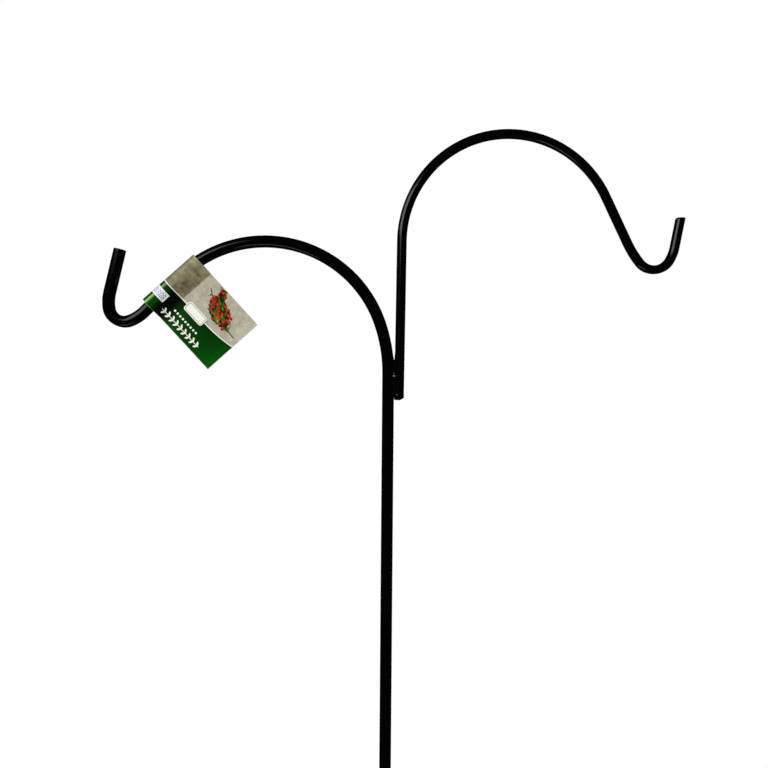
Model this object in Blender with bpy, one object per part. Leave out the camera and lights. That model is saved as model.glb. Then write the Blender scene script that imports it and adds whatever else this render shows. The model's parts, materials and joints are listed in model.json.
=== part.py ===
# A double shepherd's hook. One bent steel bar is the pole and the lower hook, a thinner
# bent bar welded to its side is the upper hook, and a step-in fork is welded to its foot.
# A folded card tag is wrapped round the lower arm, where it can swing.
#
# Lengths are in metres and angles in degrees. The origin is on the pole's axis at the
# ground line, +Z is up, and the pole, both arms and the fork lie in the XZ plane.

import math

import bmesh
import bpy
from mathutils import Matrix, Vector

# Gaps and facets
paint_gap = 0.0003          # between pieces that touch, such as a bar and its weld
weld_distance = 0.00001     # joins the loose caps of a bar to its sides
cut_overrun = 0.004         # how far a bar runs past a saw cut before it is cut
bend_step = 6.0             # largest turn between two rings of a bend
bar_sides_level = 6         # gives a bar sixteen sides
rim_segments = 3            # facets across a rounded rim

# Pole and lower hook: one bar, bent to the left
pole_diameter = 0.0127
stake_depth = 0.165         # the pole and the prong below the ground line
point_length = 0.028        # tapered end of the pole and the prong
point_diameter = 0.003
foot_height = 1.425         # ground line to the foot of the upper arm
lower_arch_rise = 0.0275    # above that foot, where the pole starts to bend
lower_lead_radius = 0.160
lower_lead_angle = 19.6
lower_arch_radius = 0.126
lower_arch_angle = 116.2
lower_run = 0.0504          # straight under the tag
lower_crook_lead_radius = 0.044
lower_crook_lead_angle = 23.3
lower_crook_radius = 0.0155
lower_crook_angle = 103.6
lower_crook_exit_angle = 22.2
lower_tip_length = 0.0456
lower_tip_rounding = 0.0009

# Upper hook: a thinner bar, bent to the right
arm_diameter = 0.0104
arm_lean = 0.57             # its leg leans away from the pole
arm_leg = 0.1684
upper_arch_radius = 0.1175
upper_arch_angle = 152.5
upper_run = 0.0547
upper_crook_lead_radius = 0.110
upper_crook_lead_angle = 13.4
upper_crook_radius = 0.021
upper_crook_angle = 109.4
upper_crook_exit_radius = 0.047
upper_crook_exit_angle = 19.6
upper_tip_length = 0.0329
upper_tip_slant = 10.0      # the sawn end is off square by this much
upper_tip_rounding = 0.0021
arm_foot_slant = 11.0
arm_foot_rounding = 0.0008

# Weld beads
weld_radius = 0.0024
weld_throat = 0.0009        # how far a bead's axis stands off both bars
arm_weld_length = 0.0405
arm_weld_setback = 0.0014   # above the arm's foot
fork_weld_length = 0.030
fork_weld_setback = 0.004   # below the fork's upper end

# Step-in fork
fork_diameter = 0.008
fork_leg = 0.052            # stands beside the pole, above the ground line
fork_reach = 0.090          # pole's axis to the prong's axis
fork_bend_radius = 0.014
fork_rounding = 0.0006

# Card tag
card_width = 0.0695         # along the arm
card_length = 0.0978        # fold to free edge
card_thickness = 0.0005
card_setback = 0.0086       # end of the lower arch to the middle of the card
card_tilt = -3.3            # the card turns back from the straight run towards the arch
sleeve_clearance = 0.0005   # least room between the arm and the card
glue_setback = 0.0095       # far side of the sleeve's bore to where the leaves meet
sleeve_segments = 28
sticker_width = 0.010       # along the arm
sticker_setback = 0.0129    # from the card's edge nearest the crook
sticker_flap = 0.0045       # straight part past the rounded fold, on each side
sticker_thickness = 0.0003

pole_radius = pole_diameter / 2
arm_radius = arm_diameter / 2
fork_radius = fork_diameter / 2


def new_collection(name):
    collection = bpy.data.collections.new(name)
    bpy.context.scene.collection.children.link(collection)
    return collection


def new_material(name, color, roughness, metallic=0.0):
    material = bpy.data.materials.new(name)
    material.use_nodes = True
    shader = material.node_tree.nodes["Principled BSDF"]
    shader.inputs["Base Color"].default_value = (*color, 1.0)
    shader.inputs["Roughness"].default_value = roughness
    shader.inputs["Metallic"].default_value = metallic
    return material


def direction(angle):
    """The unit vector at an angle from +X towards +Z."""
    turn = math.radians(angle)
    return Vector((math.cos(turn), 0.0, math.sin(turn)))


def bend_path(start, heading, moves):
    """Points of a bar bent in the XZ plane, and its last heading.

    A move is a straight of some length with a turn of zero, or a bend of some
    radius with its turn, which is positive to the left.
    """
    points = [start.copy()]
    for size, turn in moves:
        steps = max(1, math.ceil(abs(turn) / bend_step))
        step_turn = turn / steps
        chord = size
        if turn:
            chord = 2 * size * math.sin(math.radians(abs(step_turn)) / 2)
        for _ in range(steps):
            points.append(points[-1] + chord * direction(heading + step_turn / 2))
            heading += step_turn
    return points, heading


def mesh_from_curve(curve_object):
    """Replace a curve object by a mesh of the same name, with its caps joined on."""
    depsgraph = bpy.context.evaluated_depsgraph_get()
    mesh = bpy.data.meshes.new_from_object(curve_object.evaluated_get(depsgraph))
    work = bmesh.new()
    work.from_mesh(mesh)
    bmesh.ops.remove_doubles(work, verts=work.verts, dist=weld_distance)
    bmesh.ops.recalc_face_normals(work, faces=work.faces)
    work.to_mesh(mesh)
    work.free()
    name = curve_object.name
    collection = curve_object.users_collection[0]
    place = curve_object.matrix_world.copy()
    bpy.data.objects.remove(curve_object, do_unlink=True)
    piece = bpy.data.objects.new(name, mesh)
    collection.objects.link(piece)
    piece.matrix_world = place
    mesh.shade_smooth()
    mesh.set_sharp_from_angle(angle=math.radians(35))
    return piece


def add_bar(name, points, diameter, collection, start_taper=None, end_taper=None):
    """A round bar along points. A taper is its length and the diameter it ends in."""
    stations = list(points)
    shares = [1.0] * len(stations)
    if start_taper:
        inward = (points[1] - points[0]).normalized()
        stations.insert(1, points[0] + start_taper[0] * inward)
        shares.insert(0, start_taper[1] / diameter)
    if end_taper:
        inward = (points[-2] - points[-1]).normalized()
        stations.insert(-1, points[-1] + end_taper[0] * inward)
        shares.append(end_taper[1] / diameter)
    curve = bpy.data.curves.new(name, "CURVE")
    curve.dimensions = "3D"
    curve.bevel_depth = diameter / 2
    curve.bevel_resolution = bar_sides_level
    curve.use_fill_caps = True
    spline = curve.splines.new("POLY")
    spline.points.add(len(stations) - 1)
    for point, station, share in zip(spline.points, stations, shares):
        point.co = (*station, 1.0)
        point.radius = share
    bar = bpy.data.objects.new(name, curve)
    collection.objects.link(bar)
    return mesh_from_curve(bar)


def saw_cut(piece, diameter, point, normal, rounding):
    """Cut a bar's end off at a plane, close the cut and round its rim."""
    work = bmesh.new()
    work.from_mesh(piece.data)
    reach = cut_overrun + diameter
    faces = {
        face
        for vert in work.verts
        if (vert.co - point).length < reach
        for face in vert.link_faces
    }
    edges = {edge for face in faces for edge in face.edges}
    verts = {vert for face in faces for vert in face.verts}
    geometry = list(verts) + list(edges) + list(faces)
    cut = bmesh.ops.bisect_plane(
        work, geom=geometry, dist=weld_distance, plane_co=point, plane_no=normal, clear_outer=True
    )
    rim = [edge for edge in cut["geom_cut"] if isinstance(edge, bmesh.types.BMEdge)]
    bmesh.ops.edgeloop_fill(work, edges=rim)
    bmesh.ops.bevel(
        work, geom=rim, offset=rounding, segments=rim_segments, profile=0.5, affect="EDGES"
    )
    bmesh.ops.recalc_face_normals(work, faces=work.faces)
    work.to_mesh(piece.data)
    work.free()


def end_of(points):
    """The last point of a path and the direction in which the path leaves it."""
    return points[-1], (points[-1] - points[-2]).normalized()


def extended(points, start_extra, end_extra):
    """The same path, run on straight at its ends."""
    path = list(points)
    path[0] = points[0] + start_extra * (points[0] - points[1]).normalized()
    path[-1] = points[-1] + end_extra * (points[-1] - points[-2]).normalized()
    return path


def add_cutter(name, points, diameter, collection):
    """A bar's shape with the paint gap round it, for cutting the welds to fit."""
    cutter = add_bar(name, points, diameter + 2 * paint_gap, collection)
    cutter.hide_render = True
    cutter.display_type = "WIRE"
    return cutter


def add_weld(name, side, low, high, bar_place, bar_radius, cutters, collection):
    """A fillet bead in the groove between the pole and a bar that stands beside it."""
    pole_reach = pole_radius + weld_throat
    bar_reach = bar_radius + weld_throat
    across = (pole_reach**2 - bar_reach**2 + bar_place**2) / (2 * bar_place)
    outward = side * math.sqrt(pole_reach**2 - across**2)
    ends = [Vector((across, outward, low)), Vector((across, outward, high))]
    taper = (weld_radius, weld_radius)
    bead = add_bar(name, ends, 2 * weld_radius, collection, taper, taper)
    for cutter in cutters:
        cut = bead.modifiers.new(cutter.name, "BOOLEAN")
        cut.operation = "DIFFERENCE"
        cut.solver = "EXACT"
        cut.object = cutter
    return bead


def lower_moves():
    """The pole's bends above the arm's foot, from the lower arch to the hook's tip."""
    return [
        (lower_arch_rise, 0.0),
        (lower_lead_radius, lower_lead_angle),
        (lower_arch_radius, lower_arch_angle),
        (lower_run, 0.0),
        (lower_crook_lead_radius, -lower_crook_lead_angle),
        (lower_crook_radius, -lower_crook_angle),
        (lower_crook_lead_radius, -lower_crook_exit_angle),
        (lower_tip_length, 0.0),
    ]


def upper_moves():
    return [
        (arm_leg, 0.0),
        (upper_arch_radius, -upper_arch_angle),
        (upper_run, 0.0),
        (upper_crook_lead_radius, upper_crook_lead_angle),
        (upper_crook_radius, upper_crook_angle),
        (upper_crook_exit_radius, upper_crook_exit_angle),
        (upper_tip_length, 0.0),
    ]


def add_pole(path, collection, material):
    tip, tip_direction = end_of(path)
    pole = add_bar(
        "main_pole",
        extended(path, 0.0, cut_overrun),
        pole_diameter,
        collection,
        start_taper=(point_length, point_diameter),
    )
    saw_cut(pole, pole_diameter, tip, tip_direction, lower_tip_rounding)
    pole.data.materials.append(material)
    return pole


def add_upper_arm(path, collection, material):
    tip, tip_direction = end_of(path)
    arm = add_bar("upper_arm", extended(path, cut_overrun, cut_overrun), arm_diameter, collection)
    tip_turn = Matrix.Rotation(math.radians(-upper_tip_slant), 3, "Y")
    saw_cut(arm, arm_diameter, tip, tip_turn @ tip_direction, upper_tip_rounding)
    foot_turn = Matrix.Rotation(math.radians(-arm_foot_slant), 3, "Y")
    down = Vector((0.0, 0.0, -1.0))
    saw_cut(arm, arm_diameter, path[0], foot_turn @ down, arm_foot_rounding)
    arm.data.materials.append(material)
    return arm


def fork_path():
    """Down beside the pole, out along the ground as a step, and down as the prong."""
    beside_pole = pole_radius + paint_gap + fork_radius
    moves = [
        (fork_leg - fork_radius - fork_bend_radius, 0.0),
        (fork_bend_radius, 90.0),
        (fork_reach - beside_pole - 2 * fork_bend_radius, 0.0),
        (fork_bend_radius, -90.0),
        (stake_depth + fork_radius - fork_bend_radius, 0.0),
    ]
    points, _ = bend_path(Vector((beside_pole, 0.0, fork_leg)), -90.0, moves)
    return points


def add_fork(path, collection, material):
    top, up = path[0], Vector((0.0, 0.0, 1.0))
    fork = add_bar(
        "ground_fork",
        extended(path, cut_overrun, 0.0),
        fork_diameter,
        collection,
        end_taper=(point_length, point_diameter),
    )
    saw_cut(fork, fork_diameter, top, up, fork_rounding)
    fork.data.materials.append(material)
    return fork


def sleeve_place(pole_path):
    """Where the card's sleeve lies: its middle, its axis and its bore's radius.

    The arm curves a little inside the straight sleeve, so the axis runs midway
    through that curve and the bore is wide enough to turn round all of it.
    """
    moves = lower_moves()
    foot = Vector((0.0, 0.0, foot_height))
    arch_path, heading = bend_path(foot, 90.0, moves[:3])
    middle = arch_path[-1] + card_setback * direction(heading)
    along = direction(heading + card_tilt)
    across = Vector((along.z, 0.0, -along.x))
    half_width = card_width / 2
    samples = 12
    offsets = []
    for start, end in zip(pole_path, pole_path[1:]):
        for step in range(samples + 1):
            spot = start.lerp(end, step / samples) - middle
            if abs(spot.dot(along)) <= half_width and abs(spot.dot(across)) <= half_width:
                offsets.append(spot.dot(across))
    shift = (max(offsets) + min(offsets)) / 2
    bow = (max(offsets) - min(offsets)) / 2
    bore_radius = pole_radius + bow + sleeve_clearance
    return middle + shift * across, along, bore_radius


def sleeve_arc(radius, first, last):
    """Points round the fold's side of the sleeve, by angle from the leaves' side."""
    return [
        (radius * math.cos(angle), radius * math.sin(angle))
        for step in range(sleeve_segments + 1)
        for angle in [first + (last - first) * step / sleeve_segments]
    ]


def add_outline(name, outlines, width, parent, offset, collection):
    """A flat outline, with any holes, made into a solid as wide as given."""
    curve = bpy.data.curves.new(name, "CURVE")
    curve.dimensions = "2D"
    curve.fill_mode = "BOTH"
    curve.extrude = width / 2
    for outline in outlines:
        spline = curve.splines.new("POLY")
        spline.points.add(len(outline) - 1)
        spline.use_cyclic_u = True
        for point, place in zip(spline.points, outline):
            point.co = (*place, 0.0, 1.0)
    shape = bpy.data.objects.new(name, curve)
    collection.objects.link(shape)
    piece = mesh_from_curve(shape)
    piece.parent = parent
    piece.location = (0.0, 0.0, offset)
    return piece


def add_card(bore_radius, parent, collection, material):
    """One card folded round the arm, with its two leaves glued face to face."""
    outer_radius = bore_radius + card_thickness
    meeting = bore_radius + glue_setback
    slope = math.asin(bore_radius / meeting)
    tangent = math.pi / 2 - slope
    leaf_start = meeting + card_thickness * math.tan(slope / 2)
    free_edge = card_length - outer_radius
    outside = [(free_edge, card_thickness), (leaf_start, card_thickness)]
    outside += sleeve_arc(outer_radius, tangent, 2 * math.pi - tangent)
    outside += [(leaf_start, -card_thickness), (free_edge, -card_thickness)]
    inside = [(meeting, 0.0)]
    inside += sleeve_arc(bore_radius, tangent, 2 * math.pi - tangent)
    card = add_outline("tag_card", [outside, inside], card_width, parent, 0.0, collection)
    card.data.materials.append(material)
    return card


def add_sticker(bore_radius, parent, collection, material):
    """A small label stuck over the card's fold, lapped onto both leaves."""
    slope = math.asin(bore_radius / (bore_radius + glue_setback))
    tangent = math.pi / 2 - slope
    inner_radius = bore_radius + card_thickness + paint_gap
    outer_radius = inner_radius + sticker_thickness
    flap = Vector((math.cos(slope), -math.sin(slope))) * sticker_flap
    outer = [Vector(place) for place in sleeve_arc(outer_radius, tangent, 2 * math.pi - tangent)]
    inner = [Vector(place) for place in sleeve_arc(inner_radius, tangent, 2 * math.pi - tangent)]
    mirrored_flap = Vector((flap.x, -flap.y))
    outline = [outer[0] + flap, *outer, outer[-1] + mirrored_flap]
    outline += [inner[-1] + mirrored_flap, *reversed(inner), inner[0] + flap]
    offset = (sticker_width - card_width) / 2 + sticker_setback
    sticker = add_outline("tag_sticker", [outline], sticker_width, parent, offset, collection)
    sticker.data.materials.append(material)
    return sticker


def add_tag(pole_path, collection, card_material, sticker_material):
    middle, along, bore_radius = sleeve_place(pole_path)
    swing = bpy.data.objects.new("tag_swing_axis", None)
    swing.empty_display_size = card_width / 2
    collection.objects.link(swing)
    # the leaves leave the arm square to it, on the inner side of the hook
    arm_up = -along
    leaf = Vector((arm_up.z, 0.0, -arm_up.x))
    frame = Matrix((leaf, arm_up.cross(leaf), arm_up)).transposed().to_4x4()
    swing.matrix_world = Matrix.Translation(middle) @ frame
    add_card(bore_radius, swing, collection, card_material)
    add_sticker(bore_radius, swing, collection, sticker_material)


def build():
    for old in list(bpy.data.objects):
        bpy.data.objects.remove(old, do_unlink=True)
    hook = new_collection("shepherds_hook")
    cutters = new_collection("cutters")

    black = (0.006, 0.006, 0.006)
    coat_pole = new_material("gloss_black_coat_pole", black, 0.22)
    coat_arm = new_material("gloss_black_coat_arm", black, 0.22)
    coat_fork = new_material("gloss_black_coat_fork", black, 0.25)
    coat_weld = new_material("gloss_black_coat_weld", black, 0.35)
    printed_card = new_material("printed_card", (0.42, 0.38, 0.31), 0.3)
    white_paper = new_material("white_paper", (0.85, 0.86, 0.87), 0.5)

    foot = Vector((0.0, 0.0, foot_height))
    above_foot, _ = bend_path(foot, 90.0, lower_moves())
    pole_path = [Vector((0.0, 0.0, -stake_depth)), *above_foot]
    add_pole(pole_path, hook, coat_pole)

    arm_place = pole_radius + paint_gap + arm_radius
    arm_foot = Vector((arm_place, 0.0, foot_height))
    arm_path, _ = bend_path(arm_foot, 90.0 - arm_lean, upper_moves())
    add_upper_arm(arm_path, hook, coat_arm)

    fork_points = fork_path()
    add_fork(fork_points, hook, coat_fork)

    pole_cutter = add_cutter("pole_cutter", pole_path, pole_diameter, cutters)
    arm_cutter = add_cutter(
        "arm_cutter", extended(arm_path, cut_overrun, 0.0), arm_diameter, cutters
    )
    fork_cutter = add_cutter("fork_cutter", fork_points, fork_diameter, cutters)
    arm_weld_low = foot_height + arm_weld_setback
    fork_weld_high = fork_leg - fork_weld_setback
    for side, word in ((-1, "front"), (1, "rear")):
        arm_weld = add_weld(
            "arm_weld_" + word,
            side,
            arm_weld_low,
            arm_weld_low + arm_weld_length,
            arm_place,
            arm_radius,
            (pole_cutter, arm_cutter),
            hook,
        )
        arm_weld.data.materials.append(coat_weld)
        fork_weld = add_weld(
            "fork_weld_" + word,
            side,
            fork_weld_high - fork_weld_length,
            fork_weld_high,
            pole_radius + paint_gap + fork_radius,
            fork_radius,
            (pole_cutter, fork_cutter),
            hook,
        )
        fork_weld.data.materials.append(coat_weld)

    add_tag(pole_path, hook, printed_card, white_paper)


build()
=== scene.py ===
import json
import math
from functools import partial

import bmesh
import bpy
from mathutils import Matrix, Vector


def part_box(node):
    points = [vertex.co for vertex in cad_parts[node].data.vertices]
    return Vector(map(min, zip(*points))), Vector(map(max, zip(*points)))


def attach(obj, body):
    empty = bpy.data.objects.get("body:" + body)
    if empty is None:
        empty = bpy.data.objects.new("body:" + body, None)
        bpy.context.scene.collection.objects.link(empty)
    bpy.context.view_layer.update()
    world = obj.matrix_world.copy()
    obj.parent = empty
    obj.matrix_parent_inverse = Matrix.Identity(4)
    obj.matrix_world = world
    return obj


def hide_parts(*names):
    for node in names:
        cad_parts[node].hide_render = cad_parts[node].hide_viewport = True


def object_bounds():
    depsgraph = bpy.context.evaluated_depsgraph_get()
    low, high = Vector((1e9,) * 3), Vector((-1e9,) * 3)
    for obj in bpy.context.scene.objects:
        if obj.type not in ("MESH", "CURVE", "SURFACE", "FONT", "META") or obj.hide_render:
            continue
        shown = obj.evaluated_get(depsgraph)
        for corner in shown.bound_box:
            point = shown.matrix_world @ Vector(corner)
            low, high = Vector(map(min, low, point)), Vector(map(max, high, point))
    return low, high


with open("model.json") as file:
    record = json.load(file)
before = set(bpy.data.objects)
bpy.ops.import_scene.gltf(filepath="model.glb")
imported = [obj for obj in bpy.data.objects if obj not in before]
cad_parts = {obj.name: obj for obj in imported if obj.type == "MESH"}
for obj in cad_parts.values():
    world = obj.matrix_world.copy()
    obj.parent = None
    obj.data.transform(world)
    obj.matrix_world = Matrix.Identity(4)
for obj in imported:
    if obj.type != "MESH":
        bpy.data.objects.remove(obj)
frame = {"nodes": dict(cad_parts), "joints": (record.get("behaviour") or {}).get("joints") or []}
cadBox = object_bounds()

# Lengths are in metres, angles in degrees, and colours are sRGB hex
mm = 0.001
barSides = 48
ringStep = 2.0  # largest turn between two rings of a bend
straightStep = 0.06  # longest stretch of a straight bar between two rings
rimFacets = 4
rimHold = 0.5 * mm  # from a rounded rim to the ring that keeps its shading off the straight bar
overrun = 4 * mm  # how far a bar runs past a cut before it is cut
tolerance = 0.01 * mm
noiseSpan = (0.3, 0.7)  # most of a noise pattern lies between these

upright = {"second": Vector((0, 0, 1)), "spinAxis": (0, 1, 0)}  # a bend in the XZ plane
level = {"second": Vector((0, 1, 0)), "spinAxis": (0, 0, -1)}  # a bend in the XY plane


# Modelling helpers

def addShape(operator, **settings):  # a new shape alone in the selection, its place in its mesh
    bpy.ops.object.select_all(action="DESELECT")
    operator(**settings)
    bpy.ops.object.transform_apply()
    return bpy.context.object


def pick(kind, test):  # selects the verts, edges or faces that pass a test
    bpy.ops.mesh.select_mode(type=kind[:-1].upper())
    bpy.ops.mesh.select_all(action="DESELECT")
    mesh = bpy.context.object.data
    cage = bmesh.from_edit_mesh(mesh)
    for part in getattr(cage, kind):
        if test(part):
            part.select_set(True)
    cage.select_flush_mode()
    bmesh.update_edit_mesh(mesh)


def markRow(length):  # writes the distance from the profile's start on the selected row
    mesh = bpy.context.object.data
    cage = bmesh.from_edit_mesh(mesh)
    layer = cage.verts.layers.float.get("along") or cage.verts.layers.float.new("along")
    for vert in cage.verts:
        if vert.select:
            vert[layer] = length
    bmesh.update_edit_mesh(mesh)


def aheadOf(walk, turn=0):  # the way the bar runs, or that way turned to the left
    angle = math.radians(walk["heading"] + turn)
    return math.cos(angle) * Vector((1, 0, 0)) + math.sin(angle) * walk["plane"]["second"]


def runStraight(walk, length, rows=None):  # pulls the selected row straight on
    rows = rows or math.ceil(length / straightStep)
    step = aheadOf(walk) * length / rows
    for row in range(rows):
        bpy.ops.mesh.extrude_region_move(TRANSFORM_OT_translate={"value": step})
        walk["length"] += length / rows
        markRow(walk["length"])
    walk["place"] = walk["place"] + step * rows


def bendRound(walk, radius, turn, squeeze=0.0):
    # Spins the selected row round the bend's centre, positive to the left.
    # A tight bend squeezes a bar flatter towards its middle, and a little wider across.
    rows = math.ceil(abs(turn) / ringStep)
    toCentre = math.copysign(radius, turn)
    centre = walk["place"] + aheadOf(walk, 90) * toCentre
    before = 1.0
    for row in range(rows):
        angle = math.radians(turn / rows)
        bpy.ops.mesh.spin(steps=1, angle=angle, center=centre, axis=walk["plane"]["spinAxis"])
        walk["heading"] += turn / rows
        walk["place"] = centre - aheadOf(walk, 90) * toCentre
        walk["length"] += radius * math.radians(abs(turn) / rows)
        markRow(walk["length"])
        if squeeze:
            share = 1 - squeeze * math.sin(math.pi * (row + 1) / rows) ** 2
            across = aheadOf(walk, 90)
            sideways = Vector(walk["plane"]["spinAxis"])
            bpy.ops.transform.resize(
                value=(share / before, math.sqrt(before / share), 1),
                orient_type="GLOBAL",
                orient_matrix=Matrix((across, sideways, across.cross(sideways))).transposed(),
                orient_matrix_type="GLOBAL",
                constraint_axis=(True, True, False),
                center_override=walk["place"],
            )
            before = share


def beginBar(name, place, heading, radius, tilt=0.0):
    # A ring to pull the bar out of; tilt turns it about the bar's side axis
    turn = (math.radians(tilt), math.radians(90 - heading), 0)
    bar = addShape(
        bpy.ops.mesh.primitive_circle_add, vertices=barSides, radius=radius, location=place, rotation=turn,
    )
    bar.name = name
    bpy.ops.object.mode_set(mode="EDIT")
    bpy.ops.mesh.select_all(action="SELECT")
    walk = {"place": Vector(place), "heading": heading, "plane": upright, "length": 0.0}
    markRow(0.0)
    return bar, walk


def sawEnd(place, outward, radius, rounding):
    # Cuts a bar off at a plane, closes the cut and rounds its rim
    reach = overrun + 2.2 * radius  # takes in the slanted cut of a bar and nothing beside it
    pick("faces", lambda face: any((vert.co - place).length < reach for vert in face.verts))
    bpy.ops.mesh.bisect(plane_co=place, plane_no=outward, use_fill=True, clear_outer=True)
    pick(
        "edges",
        lambda edge: all(
            abs((vert.co - place).dot(outward)) < tolerance and (vert.co - place).length < reach
            for vert in edge.verts
        ),
    )
    bpy.ops.mesh.bevel(offset=rounding, segments=rimFacets, profile=0.5, affect="EDGES")


def closeMesh():  # fills what is open, turns the faces outwards and leaves edit mode
    pick("edges", lambda edge: edge.is_boundary)
    bpy.ops.mesh.fill_holes(sides=0)
    bpy.ops.mesh.select_all(action="SELECT")
    bpy.ops.mesh.normals_make_consistent(inside=False)
    bpy.ops.object.mode_set(mode="OBJECT")


def dress(piece, materials, body, node, smoothAngle=35):
    # The finish of a piece, the body it moves with and the CAD node it stands for
    for material in materials:
        piece.data.materials.append(material)
    bpy.ops.object.select_all(action="DESELECT")
    piece.select_set(True)
    bpy.context.view_layer.objects.active = piece
    bpy.ops.object.shade_smooth_by_angle(angle=math.radians(smoothAngle))
    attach(piece, body)
    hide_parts(node)
    low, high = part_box(node)
    spots = [vert.co for vert in piece.data.vertices]
    drift = max(
        max(abs(min(spot[axis] for spot in spots) - low[axis]) for axis in range(3)),
        max(abs(max(spot[axis] for spot in spots) - high[axis]) for axis in range(3)),
    )
    print(f"{piece.name}: {len(piece.data.polygons)} faces, {drift / mm:.2f} mm off its solid's box")


def barRadius(node):  # a bar lies in the XZ plane, so its box is one diameter deep
    low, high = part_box(node)
    return (high.y - low.y) / 2


# Material helpers

def hexColour(code):  # an sRGB hex colour, turned to linear for the shader
    shares = [int(code[start:start + 2], 16) / 255 for start in (1, 3, 5)]
    linear = [share / 12.92 if share <= 0.04045 else ((share + 0.055) / 1.055) ** 2.4 for share in shares]
    return (*linear, 1.0)


def plugIn(node, links):
    # Joins each input to a node's first live output or to a socket, or sets it to a value.
    # links is a list in the order of the inputs, or a dictionary by name or number.
    for socket, value in links.items() if isinstance(links, dict) else enumerate(links):
        if isinstance(value, bpy.types.Node):
            value = next(output for output in value.outputs if output.enabled)
        if isinstance(value, bpy.types.NodeSocket):
            node.id_data.links.new(value, node.inputs[socket])
        else:
            node.inputs[socket].default_value = hexColour(value) if isinstance(value, str) else value


def addNode(tree, kind, links=(), stops=(), **settings):
    node = tree.nodes.new("ShaderNode" + kind)
    for name, value in settings.items():
        setattr(node, name, value)
    plugIn(node, links)
    for number, (position, colour) in enumerate(stops):
        ramp = node.color_ramp.elements
        stop = ramp[number] if number < 2 else ramp.new(position)
        stop.position = position
        stop.color = hexColour(colour)
    return node


def newMaterial(name):  # with addNode for its own nodes, and its shader
    material = bpy.data.materials.new(name)
    material.use_nodes = True
    return material, partial(addNode, material.node_tree), material.node_tree.nodes["Principled BSDF"]


# Gloss black coat on steel bar

coatLook = {
    "colour": "#010101",
    "thin": "#040404",  # where the coat flowed thin
    "primer": "#3a3a3c",
    "steel": "#8d8a86",
    "flowSize": 38 * mm,
    "glossSpread": (0.85, 1.2),  # shares of the roughness, by how the coat flowed
    "peelSize": 1.6 * mm,  # orange peel of a sprayed and baked coat
    "peelHeight": 0.004 * mm,
    "nibSpacing": 11 * mm,
    "nibSize": 0.35 * mm,
    "nibHeight": 0.05 * mm,
    "scuffSize": 2.2 * mm,
    "rubReach": 14 * mm,  # each way from where a basket hangs
    "rubDulling": 0.12,
    "scratchLevel": (0.80, 0.50),  # few scratches at the ground line, many at the point
    "scratchDulling": 0.25,
}


def bakedEnamel(name, roughness, seat=None, buried=None, specular=0.5):
    # Baked black enamel on steel: deep black, wet-looking gloss with a faint orange peel
    # and a few dust nibs. seat is where on the bar things hang, which rubs the gloss
    # down; buried is the length that is pushed into the soil, which scratches it.
    look = coatLook
    material, add, shader = newMaterial(name)
    place = add("TexCoord").outputs["Object"]
    along = add("Attribute", attribute_name="along").outputs["Fac"]

    flow = add("TexNoise", {"Vector": place, "Scale": 1 / look["flowSize"], "Detail": 4.0})
    shade = add("Mix", {0: flow, 6: look["colour"], 7: look["thin"]}, data_type="RGBA")
    glossiest, dullest = (roughness * share for share in look["glossSpread"])
    rough = add("MapRange", [flow, *noiseSpan, glossiest, dullest])

    peel = add(
        "TexNoise", {"Vector": place, "Scale": 1 / look["peelSize"], "Detail": 1.0, "Roughness": 0.4},
    )
    peelBump = add("Bump", {"Height": peel, "Distance": look["peelHeight"]})
    cells = add("TexVoronoi", {"Vector": place, "Scale": 1 / look["nibSpacing"]})
    nibShare = look["nibSize"] / look["nibSpacing"]
    nib = add("MapRange", [cells, nibShare, 0.0], interpolation_type="SMOOTHSTEP")
    nibBump = add("Bump", {"Height": nib, "Distance": look["nibHeight"], "Normal": peelBump})

    if seat or buried:
        scuffs = add(
            "TexNoise",
            {"Vector": place, "Scale": 1 / look["scuffSize"], "Detail": 5.0, "Roughness": 0.7},
        )
    if seat:
        away = add("Math", [along, seat], operation="SUBTRACT")
        away = add("Math", [away], operation="ABSOLUTE")
        near = add("MapRange", [away, look["rubReach"], 0.0], interpolation_type="SMOOTHSTEP")
        rub = add("Math", [near, scuffs], operation="MULTIPLY")
        rough = add("Math", [rub, look["rubDulling"], rough], operation="MULTIPLY_ADD")
    if buried:
        few, many = look["scratchLevel"]
        depth = add("MapRange", [along, *buried])
        threshold = add("MapRange", {0: depth, 3: few, 4: many})
        scratched = add("Math", [scuffs, threshold], operation="GREATER_THAN")
        bare = add("Mix", {0: depth, 6: look["primer"], 7: look["steel"]}, data_type="RGBA")
        shade = add("Mix", {0: scratched, 6: shade, 7: bare}, data_type="RGBA")
        rough = add("Math", [scratched, look["scratchDulling"], rough], operation="MULTIPLY_ADD")

    plugIn(shader, {"Base Color": shade, "Roughness": rough, "Normal": nibBump})
    plugIn(shader, {"IOR": 1.5, "Specular IOR Level": specular})
    return material


# A hook's crook and tip

def bendCrook(walk, look, radius, side):
    # Lead, crook and exit, to the left or right, and then the tip; gives where a basket hangs
    leadRadius, leadTurn = look["crookLead"]
    bendRound(walk, leadRadius, side * leadTurn)
    crookStart = walk["length"]
    crookRadius, crookTurn = look["crook"]
    bendRound(walk, crookRadius, side * crookTurn, look["crookSqueeze"])
    seat = (crookStart + walk["length"]) / 2
    exitRadius, exitTurn = look["crookExit"]
    bendRound(walk, exitRadius, side * exitTurn)
    hold = radius * math.tan(math.radians(look["tipSlant"])) + look["tipRounding"] + rimHold
    runStraight(walk, look["tip"] - hold)
    runStraight(walk, hold)
    tip = walk["place"]
    outward = Matrix.Rotation(math.radians(-look["tipSlant"]), 3, "Y") @ aheadOf(walk)
    runStraight(walk, overrun, 1)
    sawEnd(tip, outward, radius, look["tipRounding"])
    return seat


# Pole with the lower hook

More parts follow.
